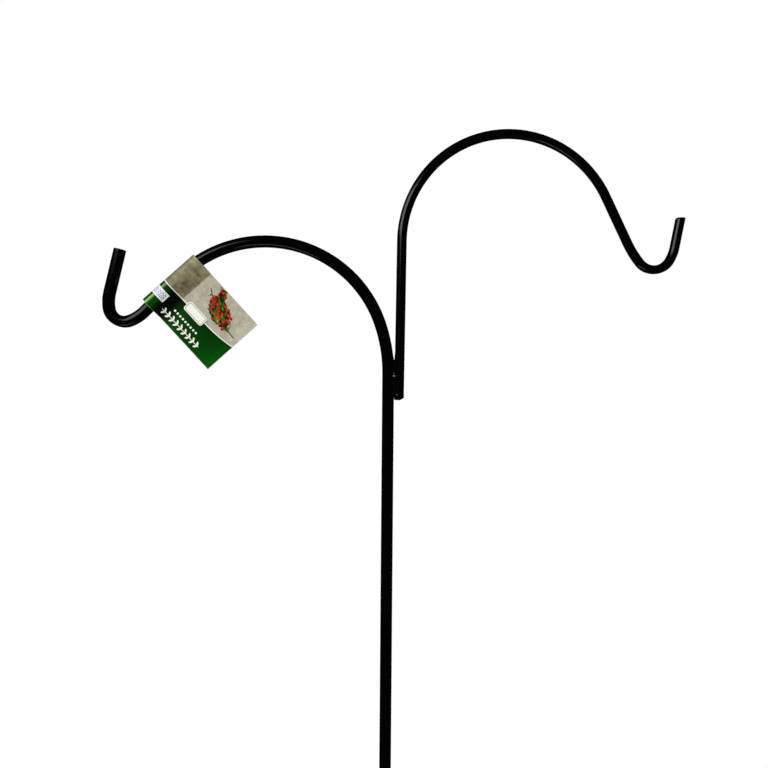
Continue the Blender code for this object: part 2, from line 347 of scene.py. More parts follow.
pole = {
    "pointLength": 28 * mm,
    "pointRadius": 1.5 * mm,
    "footHeight": 1.425,  # ground line to the foot of the upper arm
    "archRise": 27.5 * mm,
    "archLead": (0.160, 19.6),  # a bend is its radius and its turn
    "arch": (0.126, 116.2),
    "run": 50.4 * mm,
    "crookLead": (0.044, 23.3),
    "crook": (0.0155, 103.6),
    "crookExit": (0.044, 22.2),
    "crookSqueeze": 0.07,
    "tip": 45.6 * mm,
    "tipSlant": 0.0,
    "tipRounding": 0.9 * mm,
    "roughness": 0.13,
    "specular": 0.35,  # a thicker, slightly flatter coat than the arm's
}


def makePole():
    radius = barRadius("main_pole")
    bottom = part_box("main_pole")[0].z
    bar, walk = beginBar("poleWithLowerHook", (0, 0, bottom), 90, pole["pointRadius"])
    runStraight(walk, pole["pointLength"], 1)
    bpy.ops.transform.resize(value=(radius / pole["pointRadius"],) * 3, center_override=walk["place"])
    runStraight(walk, rimHold)
    runStraight(walk, pole["footHeight"] + pole["archRise"] - bottom - pole["pointLength"] - rimHold)
    bendRound(walk, *pole["archLead"])
    bendRound(walk, *pole["arch"])
    runStraight(walk, pole["run"])
    seat = bendCrook(walk, pole, radius, -1)
    closeMesh()
    buried = (-bottom, 0.0)
    material = bakedEnamel("bakedBlackEnamelPole", pole["roughness"], seat, buried, pole["specular"])
    dress(bar, [material], "hook", "main_pole")


# Upper arm, a thinner bar

arm = {
    "poleGap": 0.3 * mm,
    "lean": 0.57,
    "leg": 168.4 * mm,
    "arch": (0.1175, 152.5),
    "run": 54.7 * mm,
    "crookLead": (0.110, 13.4),
    "crook": (0.021, 109.4),
    "crookExit": (0.047, 19.6),
    "crookSqueeze": 0.07,
    "tip": 32.5 * mm,
    "tipSlant": 10.0,  # the shear left the tip off square
    "tipRounding": 2.1 * mm,
    "footDrop": 0.7 * mm,  # the shear bit level at first and then broke out upwards
    "footBreak": 0.4 * mm,
    "footSlant": 25.0,
    "footRounding": 0.8 * mm,
    "footRoughness": 0.2 * mm,  # torn edge of the sheared foot
    "roughness": 0.13,
}


def makeArm():
    radius = barRadius("upper_arm")
    foot = Vector((barRadius("main_pole") + arm["poleGap"] + radius, 0, pole["footHeight"]))
    heading = 90 - arm["lean"]
    alongLeg = Vector((math.cos(math.radians(heading)), 0, math.sin(math.radians(heading))))
    breakRise = radius * math.tan(math.radians(arm["footSlant"]))
    bar, walk = beginBar("upperHookArm", foot - overrun * alongLeg, heading, radius)
    runStraight(walk, overrun, 1)
    hold = 2 * breakRise + arm["footRounding"] + rimHold
    runStraight(walk, hold)
    runStraight(walk, arm["leg"] - hold)
    bendRound(walk, arm["arch"][0], -arm["arch"][1])
    runStraight(walk, arm["run"])
    seat = bendCrook(walk, arm, radius, 1)
    down = Vector((0, 0, -1))
    low = foot + arm["footDrop"] * down
    sawEnd(low, down, radius, arm["footRounding"])
    torn = Matrix.Rotation(math.radians(-arm["footSlant"]), 3, "Y") @ down
    sawEnd(low + Vector((arm["footBreak"], 0, 0)), torn, radius, arm["footRounding"])
    pick("verts", lambda vert: vert.co.z < foot.z + breakRise)
    bpy.ops.transform.vertex_random(offset=arm["footRoughness"], uniform=1.0, normal=0.0, seed=5)
    closeMesh()
    material = bakedEnamel("bakedBlackEnamelArm", arm["roughness"], seat)
    dress(bar, [material], "hook", "upper_arm")


# Step-in fork

fork = {
    "poleGap": 0.3 * mm,
    "leg": 52 * mm,  # beside the pole, above the ground line
    "reach": 90 * mm,  # pole's axis to the prong's axis
    "bendRadius": 14 * mm,
    "bendSqueeze": 0.05,
    "topRounding": 0.6 * mm,
    "roughness": 0.16,
}


def makeFork():
    radius = barRadius("ground_fork")
    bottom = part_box("ground_fork")[0].z
    beside = barRadius("main_pole") + fork["poleGap"] + radius
    top = Vector((beside, 0, fork["leg"]))
    bar, walk = beginBar("stepInFork", top + Vector((0, 0, overrun)), -90, radius)
    runStraight(walk, overrun, 1)
    hold = fork["topRounding"] + rimHold
    runStraight(walk, hold)
    runStraight(walk, fork["leg"] - radius - fork["bendRadius"] - hold)
    bendRound(walk, fork["bendRadius"], 90, fork["bendSqueeze"])
    runStraight(walk, fork["reach"] - beside - 2 * fork["bendRadius"])
    bendRound(walk, fork["bendRadius"], -90, fork["bendSqueeze"])
    prong = radius - fork["bendRadius"] - bottom - pole["pointLength"]
    runStraight(walk, prong - rimHold)
    runStraight(walk, rimHold)
    pointStart = walk["length"]
    runStraight(walk, pole["pointLength"], 1)
    bpy.ops.transform.resize(value=(pole["pointRadius"] / radius,) * 3, center_override=walk["place"])
    sawEnd(top, Vector((0, 0, 1)), radius, fork["topRounding"])
    closeMesh()
    buried = (pointStart - prong, pointStart + pole["pointLength"])
    material = bakedEnamel("bakedBlackEnamelFork", fork["roughness"], buried=buried)
    dress(bar, [material], "hook", "ground_fork")


# Weld beads

bead = {
    "radius": 2.4 * mm,
    "standOff": 0.9 * mm,  # bead's axis off the face of both bars
    "spread": 1.12,  # wider across the groove than deep
    "crescent": 28,  # the ripples lean, as a bead laid upwards leaves them
    "rowStep": 0.34 * mm,
    "ripplePitch": 1.9 * mm,
    "rippleHeight": 0.05 * mm,  # halfway up; half as high near the ends
    "ballFacets": 3,  # subdivisions of a drop or splash
    "dropShape": (1.0, 0.7, 1.25),  # across, through and up
    "roughness": 0.14,
    "specular": 0.9,
    "smoothAngle": 60,
}
# A station is a share of the way up, a share of the radius and how far the bead wanders
# across. A drop is a distance off the bead's axis, one above its foot, and a radius.
# These lengths are in mm.
armBead = {
    "bar": "upper_arm",
    "gap": arm["poleGap"],
    "stations": [
        (0.00, 0.60, 0.3), (0.02, 0.88, 0.4), (0.09, 1.00, 0.5), (0.15, 1.07, 0.5), (0.22, 0.97, 0.1),
        (0.31, 1.04, 0.0), (0.42, 0.96, -0.2), (0.50, 1.12, -0.2), (0.54, 1.10, -0.2), (0.62, 0.70, -0.1),
        (0.66, 0.52, 0.0), (0.80, 0.44, 0.1), (1.00, 0.40, 0.2),
    ],
    "drops": [(-2.6, 4.5, 0.45), (3.4, 9.0, 0.38), (1.9, -1.5, 0.32), (-3.6, 17.0, 0.36)],
    # Flat splashes: across from the pole's axis, out from the middle plane, above the
    # arm's foot, and the half sizes across, through and up, all in mm
    "splashes": [(5.9, 5.70, 25.1, (1.75, 0.36, 1.55)), (9.1, 4.60, 5.0, (0.85, 0.22, 1.10))],
    "splashFacing": (-0.42, 0.86, 0.29),
    "creepRadius": 0.5 * mm,  # the coat creeps up between the bars above the weld
    "creepTip": 0.0625 * mm,
    "creepRise": 8 * mm,
    "creepRoot": 2 * mm,  # starts this far down inside the bead
}
forkBead = {
    "bar": "ground_fork",
    "gap": fork["poleGap"],
    "stations": [
        (0.00, 0.35, 0.0), (0.05, 0.85, 0.1), (0.15, 1.04, 0.2), (0.35, 0.97, -0.1), (0.55, 1.05, 0.1),
        (0.75, 0.98, 0.0), (0.90, 1.06, -0.1), (0.96, 0.80, 0.0), (1.00, 0.30, 0.0),
    ],
    "drops": [(2.4, 6.0, 0.4), (-2.9, 12.0, 0.34)],
    "splashes": [],
}


def stationAt(stations, share):  # smooth steps between the listed stations
    for (start, size, shift), (end, nextSize, nextShift) in zip(stations, stations[1:]):
        if share <= end:
            part = (share - start) / (end - start)
            part = part * part * (3 - 2 * part)
            return size + (nextSize - size) * part, (shift + (nextShift - shift) * part) * mm
    return stations[-1][1], stations[-1][2] * mm


def gapEdge(side, height):  # edge of the gap above the weld: the arm's in front, the pole's behind
    rise = height - pole["footHeight"]
    if side < 0:
        edge = barRadius("main_pole") + arm["poleGap"] + rise * math.tan(math.radians(arm["lean"]))
    else:
        edge = barRadius("main_pole") - max(rise - pole["archRise"], 0.0) ** 2 / (2 * pole["archLead"][0])
    return Vector((edge, 0, height))


def addCreep(side, weldTop):  # a run of coat that tapers up the gap
    start = gapEdge(side, weldTop - armBead["creepRoot"]) + Vector((side * armBead["creepRadius"] / 2, 0, 0))
    end = gapEdge(side, weldTop + armBead["creepRise"])
    return addShape(
        bpy.ops.mesh.primitive_cone_add,
        vertices=16,
        radius1=armBead["creepRadius"],
        radius2=armBead["creepTip"],
        depth=(end - start).length,
        location=(start + end) / 2,
        rotation=(end - start).to_track_quat("Z", "Y").to_euler(),
    )


def addBall(place, halfSizes, turn=(0, 0, 0)):  # a drop or splash of weld; half sizes in mm
    return addShape(
        bpy.ops.mesh.primitive_ico_sphere_add,
        subdivisions=bead["ballFacets"],
        radius=mm,
        location=place,
        rotation=turn,
        scale=halfSizes,
    )


def makeBead(name, node, side, look):
    poleRadius, otherRadius = barRadius("main_pole"), barRadius(look["bar"])
    low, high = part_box(node)
    apart = poleRadius + look["gap"] + otherRadius
    fromPole, fromBar = poleRadius + bead["standOff"], otherRadius + bead["standOff"]
    across = (fromPole ** 2 - fromBar ** 2 + apart ** 2) / (2 * apart)
    outward = side * math.sqrt(fromPole ** 2 - across ** 2)
    height = high.z - low.z
    size, shift = stationAt(look["stations"], 0.0)
    foot = (across + shift, outward, low.z)
    bar, walk = beginBar(name, foot, 90, bead["radius"] * size, side * bead["crescent"])
    rows = math.ceil(height / bead["rowStep"])
    sizeBefore, shiftBefore = size, shift
    for row in range(1, rows + 1):
        rise = height * row / rows
        size, shift = stationAt(look["stations"], row / rows)
        wave = math.sin(2 * math.pi * rise / bead["ripplePitch"])
        swell = 0.5 + 0.5 * math.sin(math.pi * row / rows) ** 4
        size += swell * bead["rippleHeight"] / bead["radius"] * wave * size
        step = Vector((shift - shiftBefore, 0, height / rows))
        bpy.ops.mesh.extrude_region_move(TRANSFORM_OT_translate={"value": step})
        walk["place"] = walk["place"] + step
        bpy.ops.transform.resize(value=(size / sizeBefore,) * 3, center_override=walk["place"])
        walk["length"] += height / rows
        markRow(walk["length"])
        sizeBefore, shiftBefore = size, shift
    bpy.ops.mesh.select_all(action="SELECT")
    middle = Vector((across, outward, (low.z + high.z) / 2))
    bpy.ops.transform.resize(value=(bead["spread"], 1, 1), center_override=middle)
    closeMesh()
    parts = [bar]
    if "creepRise" in look:
        parts.append(addCreep(side, high.z))
    for aside, out, rise, halfSizes in look["splashes"]:
        towards = Vector(look["splashFacing"]) * Vector((1, side, 1))
        place = (aside * mm, side * out * mm, pole["footHeight"] + rise * mm)
        parts.append(addBall(place, halfSizes, towards.to_track_quat("Y", "Z").to_euler()))
    for offset, rise, dropRadius in look["drops"]:
        aside = across + offset * mm
        near, reach = (0.0, poleRadius) if offset < 0 else (apart, otherRadius)
        surface = side * math.sqrt(max(reach ** 2 - (aside - near) ** 2, 0.0))
        halfSizes = [dropRadius * share for share in bead["dropShape"]]
        parts.append(addBall((aside, surface, low.z + rise * mm), halfSizes))
    bpy.ops.object.select_all(action="DESELECT")
    for part in parts:
        part.select_set(True)
    bpy.context.view_layer.objects.active = bar
    bpy.ops.object.join()
    title = "bakedBlackEnamel" + name[0].upper() + name[1:]
    material = bakedEnamel(title, bead["roughness"], specular=bead["specular"])
    dress(bar, [material], "hook", node, bead["smoothAngle"])


# Tag: one printed card folded round the lower arm

swing = frame["joints"][0]
armUp = Vector(swing["axis"]).normalized()
leafDown = Vector((armUp.z, 0, -armUp.x))
tagTurn = Matrix((leafDown, armUp.cross(leafDown), armUp)).transposed()
tagPlace = Matrix.Translation(swing["pos_m"]) @ tagTurn.to_4x4()

card = {
    "thickness": 0.5 * mm,
    "glueSetback": 9.5 * mm,  # far side of the sleeve's bore to where the leaves meet
    "creaseRadius": 2.4 * mm,
    "columns": 34,
    "leafRows": 24,
    "slopeRows": 5,
    "glueGap": 0.02 * mm,
    "freeEdgeOpening": 0.22 * mm,
    "openingReach": 30 * mm,
    "cornerCurl": 0.9 * mm,
    "curlReach": 34 * mm,
    "rimReach": 0.1 * mm,  # takes in the free edge's own row and no other
    "edgeBevel": 0.07 * mm,
}


def localBox(node):  # a tag node's box in the tag's own frame: down the leaf, through it, up the arm
    inward = tagPlace.inverted()
    spots = [inward @ vert.co for vert in frame["nodes"][node].data.vertices]
    return [(min(spot[axis] for spot in spots), max(spot[axis] for spot in spots)) for axis in range(3)]


def foldSheet(name, columns, width, offset, start, strip, steps):
    # The first strip of the sheet is a plane; its upper edge is then run on and spun
    sheet = addShape(bpy.ops.mesh.primitive_grid_add, x_subdivisions=columns, y_subdivisions=1, size=1)
    sheet.name = name
    # x of the plane lies across the card, y runs up the front leaf
    sheet.data.transform(
        Matrix.Translation((start.x - strip / 2, start.y, offset))
        @ Matrix(((0, -1, 0), (0, 0, -1), (1, 0, 0))).to_4x4()
        @ Matrix.Diagonal((width, strip, 1, 1))
    )
    bpy.ops.object.mode_set(mode="EDIT")
    end = start.x - strip
    pick("edges", lambda edge: all(abs(vert.co.x - end) < tolerance for vert in edge.verts))
    walk = {"place": Vector((end, start.y, offset)), "heading": 180, "plane": level, "length": strip}
    markRow(strip)
    for step in steps:
        if "run" in step:
            runStraight(walk, step["run"], step["rows"])
        else:
            bendRound(walk, step["radius"], step["turn"])
    total = walk["length"]

    # The front leaf's face looks away from the arm
    bpy.ops.mesh.select_all(action="SELECT")
    bpy.ops.mesh.normals_make_consistent(inside=False)
    cage = bmesh.from_edit_mesh(sheet.data)
    front = min(cage.faces, key=lambda face: face.calc_center_median().y)
    if front.normal.y > 0:
        bpy.ops.mesh.flip_normals()
    bpy.ops.object.mode_set(mode="OBJECT")

    # The sheet's own flat layout, so the print follows it round the fold: across and along
    layer = sheet.data.uv_layers.new(name="unrolled")
    along = sheet.data.attributes["along"].data
    for loop in sheet.data.loops:
        spot = sheet.data.vertices[loop.vertex_index].co
        layer.data[loop.index].uv = (
            (spot.z - offset + width / 2) / total,
            along[loop.vertex_index].value / total,
        )
    return sheet, total


def thicken(sheet, look, face, node):  # gives the sheet its board and sets it on the arm
    for material in (face, bareBoard(backLook), bareBoard(edgeLook)):
        sheet.data.materials.append(material)
    bpy.context.view_layer.objects.active = sheet
    shell = sheet.modifiers.new("board", "SOLIDIFY")
    shell.thickness = look["thickness"]
    shell.offset = 0
    shell.use_even_offset = True
    shell.material_offset = 1
    shell.material_offset_rim = 2
    edge = sheet.modifiers.new("cutEdge", "BEVEL")
    edge.width = look["edgeBevel"]
    edge.segments = 1
    edge.limit_method = "ANGLE"
    edge.angle_limit = math.radians(60)
    for modifier in (shell, edge):
        bpy.ops.object.modifier_apply(modifier=modifier.name)
    sheet.data.transform(tagPlace)
    dress(sheet, [], "tag", node, smoothAngle=40)


def tagMetrics():
    # The middle line of the folded card, from the solid's box: the sleeve's radius, the
    # slope of its two sides and where they meet the flat leaves
    (crown, freeEdge), _, (lower, upper) = localBox("tag_card")
    outer = -crown
    bore = outer - card["thickness"]
    middle = outer - card["thickness"] / 2
    slope = math.asin(bore / (bore + card["glueSetback"]))
    leafOffset = card["thickness"] / 2 + card["glueGap"]
    corner = (middle - leafOffset * math.cos(slope)) / math.sin(slope)
    trim = card["creaseRadius"] * math.tan(slope / 2)
    return {
        "outer": outer,
        "middle": middle,
        "slope": math.degrees(slope),
        "leafOffset": leafOffset,
        "leaf": freeEdge - corner - trim,
        "sloped": (corner - middle * math.sin(slope)) / math.cos(slope) - trim,
        "freeEdge": freeEdge,
        "width": upper - lower,
        "offset": (upper + lower) / 2,
    }


def makeCard(metrics):
    leafRow = metrics["leaf"] / card["leafRows"]
    crease = {"radius": card["creaseRadius"], "turn": metrics["slope"]}
    sloped = {"run": metrics["sloped"], "rows": card["slopeRows"]}
    steps = [
        {"run": metrics["leaf"] - leafRow, "rows": card["leafRows"] - 1},
        crease,
        sloped,
        {"radius": metrics["middle"], "turn": -180 - 2 * metrics["slope"]},
        sloped,
        crease,
        {"run": metrics["leaf"], "rows": card["leafRows"]},
    ]
    width, offset = metrics["width"], metrics["offset"]
    start = Vector((metrics["freeEdge"], -metrics["leafOffset"], 0))
    sheet, total = foldSheet("hangTagCard", card["columns"], width, offset, start, leafRow, steps)
    bpy.ops.object.mode_set(mode="EDIT")
    edge = metrics["freeEdge"] - card["rimReach"]
    for side in (-1, 1):  # the leaves part a little at their free edges
        pick("verts", lambda vert: vert.co.x > edge and vert.co.y * side > 0)
        bpy.ops.transform.translate(
            value=(0, side * card["freeEdgeOpening"], 0),
            use_proportional_edit=True,
            use_proportional_connected=True,
            proportional_edit_falloff="SMOOTH",
            proportional_size=card["openingReach"],
        )
    corner = offset - width / 2 + card["rimReach"]
    pick("verts", lambda vert: vert.co.x > edge and vert.co.z < corner)
    bpy.ops.transform.translate(
        value=(0, -card["cornerCurl"], 0),
        use_proportional_edit=True,
        proportional_edit_falloff="SMOOTH",
        proportional_size=card["curlReach"],
    )
    bpy.ops.object.mode_set(mode="OBJECT")
    thicken(sheet, card, printedBoard(width / mm, total / mm / 2), "tag_card")


# Print on the card

# Places and sizes on the print are in mm, across from the edge nearest the crook and down
# from the fold, and scales are cells per mm. A shape's reach is followed by half the
# softness of its edge, and a span by the strengths at its two ends.
printLook = {
    "inkEdge": 0.1,  # half the softness of most printed edges
    "mottleScale": 0.13,
    "grainScale": 0.9,
    "grainShare": 0.8,
    "stoneSpan": (0.66, 1.14),
    "stoneDark": "#a09985",
    "stoneLight": "#cac5b1",
    "wanderScale": 0.09,
    "wanderReach": (9.0, 9.0, 0),
    "jointSpacing": 27.0,
    "jointSpan": (0.022, 0.006, 0.0, 0.42),
    "jointColour": "#8f8672",
    "paling": (90.0, 104.0, 0.96, 1.1),
    "bandEnd": 33.4,  # the darker band ends at the glue line
    "bandSoftness": 0.5,
    "streakScale": (0.26, 0.11, 1),
    "streakDrift": 0.005,  # paler across the card
    "streakSpan": (0.98, 1.5),
    "bandDark": "#665c46",
    "bandLight": "#9c9474",
    # Painted highlight: a pale stripe over the band where the sleeve's curve faces the key light
    "bandPaintedHighlight": "#c9c5b4",
    "paintedHighlightPlace": (7.4, 11.3, 1.0, 0.9),  # its ends and the softness of each
    "paintedHighlightStrength": 0.14,
    # Painted shade: the band darker towards the crown of the fold
    "paintedCrownShade": (6.0, 15.0, 0.8, 1.0),
    "panelEdge": 30.0,
    "panelSweep": 4.5,  # the panel widens by this much to the free edge
    "sweepFrom": 67.0,
    "sweepPower": 2.0,
    "panelFade": (1.25, 0.72),
    # Share of the leaf down from the fold: a dark field; a narrow pale bar near the top, printed pale green
    # and brightened as a painted highlight where the sleeve's curve faces the key light; a near-black
    # stretch, partly painted shade where the sleeve slopes back to the glue line; then deep green
    "greenStops": [
        (0.000, "#030d02"), (0.052, "#020b01"), (0.064, "#142b0a"), (0.076, "#567a3c"), (0.086, "#88b06c"),
        (0.095, "#83aa64"), (0.105, "#3c6628"), (0.114, "#0d3e04"), (0.124, "#023800"), (0.134, "#033b00"),
        (0.156, "#0b4307"), (0.177, "#022500"), (0.209, "#020e02"), (0.300, "#030c03"), (0.332, "#0a2208"),
        (0.360, "#072a05"), (0.420, "#0a450a"), (0.500, "#073d05"), (0.620, "#023802"), (0.800, "#013c01"),
        (0.900, "#014301"), (0.960, "#035006"), (1.000, "#044a04"),
    ],
    "white": "#f6f5ea",
    "line": (0.5, 0.08),
    "sprigAcross": 8.0,
    "sprigRow": (26.5, 6.0, 9),  # start down, pitch and count
    "sprigLeaf": (2.25, 1.0, 1),  # half sizes
    "sprigLeafAside": 1.95,
    "sprigLeafTurn": -38,
    "sprigLeafEdge": (1.06, 0.94),
    "sprigStem": (0.35, 0.07),
    "dotsAcross": 16.2,
    "dotsRow": (35.0, 3.9, 9),
    "dot": (1.175, 0.075),
    "sprays": [  # place, half sizes and turn of each clump
        ((49.0, 69.0, 0), (10.0, 20.0, 1), 22),
        ((62.0, 58.5, 0), (4.5, 8.0, 1), 62),
    ],
    "twigs": [  # centre and radius of an arc, half its width, its ends down, and its start across
        ((161.8, 108.5, 0), 121.0, 0.5, (44.0, 98.0), 0.0),
        ((51.0, 46.0, 0), 17.5, 0.35, (50.0, 64.0), 50.5),
    ],
    "twigSoftness": 0.5,
    "twigColour": "#2b2415",
    "leafSize": (1.9, 4.2, 1),
    "leafTurn": 35,
    "leafStops": [(0.0, "#12200a"), (0.4, "#2b4210"), (0.8, "#55701c"), (1.0, "#9aa238")],
    "leafShade": (0.15, 0.75, 1.1, 0.3),
    "raggedScale": 0.3,
    "bushEdge": (1.5, 1.44),
    "berrySpacing": 3.9,
    "berryScatter": 0.8,
    "berryRadius": 1.75,
    "berrySoftness": 0.12,
    "berryStops": [(0.0, "#f0776a"), (0.22, "#dd2a1c"), (0.7, "#c01a10"), (1.0, "#6e0d08")],
    "ripeness": (0.0, 1.0, 0.6, 1.15),
    "unset": (0.22, 0.23),  # share of the berries that never set
    "clumpEdge": (0.96, 0.95),
    "plaquePlace": (29.6, 53.0),
    "plaqueSize": (11.0, 26.0),
    "plaqueRounding": 2.4,
    "shadowShift": 0.8,
    "shadowSpan": (0.9, -0.6, 0.0, 0.55),
    "shadowColour": "#0a1a08",
    "ruleInset": 1.3,
    "rule": (0.26, 0.06),
    "ruleColour": "#5f7a55",
    "fibreSize": 0.7,
    "fibreHeight": 0.004 * mm,
    "varnish": (0.32, 0.4),
    "rubScale": 1.4,
    "rubSpan": (0.45, 0.6),
    "rubDulling": 0.3,
    "wornWidth": 0.7,  # along the card's edges
    "wornShare": 0.6,
    "wornColour": "#d9d4c6",
    "cornerRounding": 1.5,
}


def overlap(add, cover, *others):  # what lies under all of the covers
    for other in others:
        cover = add("Math", [cover, other], operation="MULTIPLY")
    return cover


def within(add, value, low, high, soft, softHigh=None):  # 1 between two values, with soft ends
    softHigh = softHigh or soft
    rise = add("MapRange", [value, low - soft, low + soft])
    fall = add("MapRange", [value, high + softHigh, high - softHigh])
    return overlap(add, rise, fall)


def nearTo(add, away, reach, soft):  # 1 within a reach of a line or a point
    away = add("Math", [away], operation="ABSOLUTE")
    return add("MapRange", [away, reach + soft, reach - soft])


def layInk(add, under, ink, *covers):  # an ink over the print so far, where all its covers are
    return add("Mix", {0: overlap(add, *covers), 6: under, 7: ink}, data_type="RGBA")


def tone(add, colour, value, *span):  # darkens or pales a colour along a span
    strength = add("MapRange", [value, *span])
    return add("VectorMath", {0: colour, "Scale": strength}, operation="SCALE")


def repeatDown(add, depth, first, pitch, count):
    # Distance down from the middle of each cell of a row, and 1 over the row's length
    fromMiddle = add("Math", [depth, first + pitch / 2], operation="SUBTRACT")
    inCell = add("Math", [fromMiddle, pitch / 2, -pitch / 2], operation="WRAP")
    return inCell, within(add, fromMiddle, -pitch / 2, (count - 0.5) * pitch, printLook["inkEdge"])


def patchDistance(add, spot, middle, size, rounding):  # distance outside a rectangle with round corners
    moved = add("VectorMath", [spot, (*middle, 0)], operation="SUBTRACT")
    folded = add("VectorMath", [moved], operation="ABSOLUTE")
    inner = (size[0] / 2 - rounding, size[1] / 2 - rounding, 0)
    past = add("VectorMath", [folded, inner], operation="SUBTRACT")
    outside = add("VectorMath", [past, (0, 0, 0)], operation="MAXIMUM")
    distance = add("VectorMath", [outside], operation="LENGTH")
    return add("Math", [distance, rounding], operation="SUBTRACT")


def stoneWall(add, spot, across, depth):
    # Mottled stone with faint joints, and a darker, streaked band of it over the sleeve: printed darker, and
    # partly painted shade where the sleeve slopes back to the glue line
    look = printLook
    mottle = add(
        "TexNoise", {"Vector": spot, "Scale": look["mottleScale"], "Detail": 6.0, "Roughness": 0.62},
    )
    grain = add("TexNoise", {"Vector": spot, "Scale": look["grainScale"], "Detail": 3.0})
    speckle = add("Math", [grain, look["grainShare"], mottle], operation="MULTIPLY_ADD")
    pale = add("MapRange", [speckle, *look["stoneSpan"]])
    stone = layInk(add, look["stoneDark"], look["stoneLight"], pale)
    wander = add("TexNoise", {"Vector": spot, "Scale": look["wanderScale"], "Detail": 3.0})
    wander = wander.outputs["Color"]
    shaken = add("VectorMath", [wander, look["wanderReach"], spot], operation="MULTIPLY_ADD")
    joints = add(
        "TexVoronoi",
        {"Vector": shaken, "Scale": 1 / look["jointSpacing"]},
        voronoi_dimensions="2D", feature="DISTANCE_TO_EDGE",
    )
    joint = add("MapRange", [joints, *look["jointSpan"]])
    stone = layInk(add, stone, look["jointColour"], joint)
    stone = tone(add, stone, depth, *look["paling"])

    stretched = add("Mapping", {"Vector": spot, "Scale": look["streakScale"]})
    streaks = add("TexNoise", {"Vector": stretched, "Scale": 1.0, "Detail": 4.0})
    streaks = add("Math", [mottle, streaks], operation="ADD")
    streaks = add("Math", [across, look["streakDrift"], streaks], operation="MULTIPLY_ADD")
    pale = add("MapRange", [streaks, *look["streakSpan"]])
    # The band's darkness is partly print and partly painted shade of the sleeve's slope
    band = layInk(add, look["bandDark"], look["bandLight"], pale)
    # Painted highlight along the sleeve's curve
    paintedHighlight = within(add, depth, *look["paintedHighlightPlace"])
    band = layInk(add, band, look["bandPaintedHighlight"], paintedHighlight, look["paintedHighlightStrength"])
    # Painted shade, darker towards the fold's crown
    band = tone(add, band, depth, *look["paintedCrownShade"])
    end, soft = look["bandEnd"], look["bandSoftness"]
    return layInk(add, stone, band, add("MapRange", [depth, end + soft, end - soft]))


def greenPanel(add, colour, across, depth, leafLength):
    # Green panel with a curved edge and a white line along it
    look = printLook
    sweep = add("MapRange", [depth, look["sweepFrom"], leafLength])
    sweep = add("Math", [sweep, look["sweepPower"]], operation="POWER")
    edge = add("Math", [sweep, look["panelSweep"], look["panelEdge"]], operation="MULTIPLY_ADD")
    past = add("Math", [across, edge], operation="SUBTRACT")
    downShare = add("Math", [depth, leafLength], operation="DIVIDE")
    # These greens carry a painted highlight on the sleeve's curve and painted shade over its slope
    green = add("ValToRGB", [downShare], look["greenStops"])
    green = tone(add, green, across, 0.0, look["panelEdge"], *look["panelFade"])
    onPanel = add("MapRange", [past, look["inkEdge"], -look["inkEdge"]])
    colour = layInk(add, colour, green, onPanel)
    return layInk(add, colour, look["white"], nearTo(add, past, *look["line"]))


def sprigAndDots(add, colour, across, depth):
    # White sprig of paired leaves down the panel, and a row of dots beside it
    look = printLook
    aside = add("Math", [across, look["sprigAcross"]], operation="SUBTRACT")
    aside = add("Math", [aside], operation="ABSOLUTE")
    inCell, inRow = repeatDown(add, depth, *look["sprigRow"])
    leafPlace = add(
        "Mapping",
        {
            "Vector": add("CombineXYZ", [aside, inCell]),
            "Location": (look["sprigLeafAside"], 0, 0),
            "Rotation": (0, 0, math.radians(look["sprigLeafTurn"])),
            "Scale": look["sprigLeaf"],
        },
        vector_type="TEXTURE",
    )
    leafAway = add("VectorMath", [leafPlace], operation="LENGTH")
    leaves = add("MapRange", [leafAway, *look["sprigLeafEdge"]])
    stem = nearTo(add, aside, *look["sprigStem"])
    sprig = add("Math", [leaves, stem], operation="MAXIMUM")
    colour = layInk(add, colour, look["white"], sprig, inRow)
    aside = add("Math", [across, look["dotsAcross"]], operation="SUBTRACT")
    inCell, inRow = repeatDown(add, depth, *look["dotsRow"])
    dotSpot = add("CombineXYZ", [aside, inCell])
    dotAway = add("VectorMath", [dotSpot], operation="LENGTH")
    return layInk(add, colour, look["white"], nearTo(add, dotAway, *look["dot"]), inRow)


def sprayReach(add, place):  # 1 at the edge of a clump, less inside it
    reaches = []
    for centre, size, turn in printLook["sprays"]:
        turned = add(
            "Mapping",
            {"Vector": place, "Location": centre, "Rotation": (0, 0, math.radians(turn)), "Scale": size},
            vector_type="TEXTURE",
        )
        reaches.append(add("VectorMath", [turned], operation="LENGTH"))
    return add("Math", reaches, operation="MINIMUM")


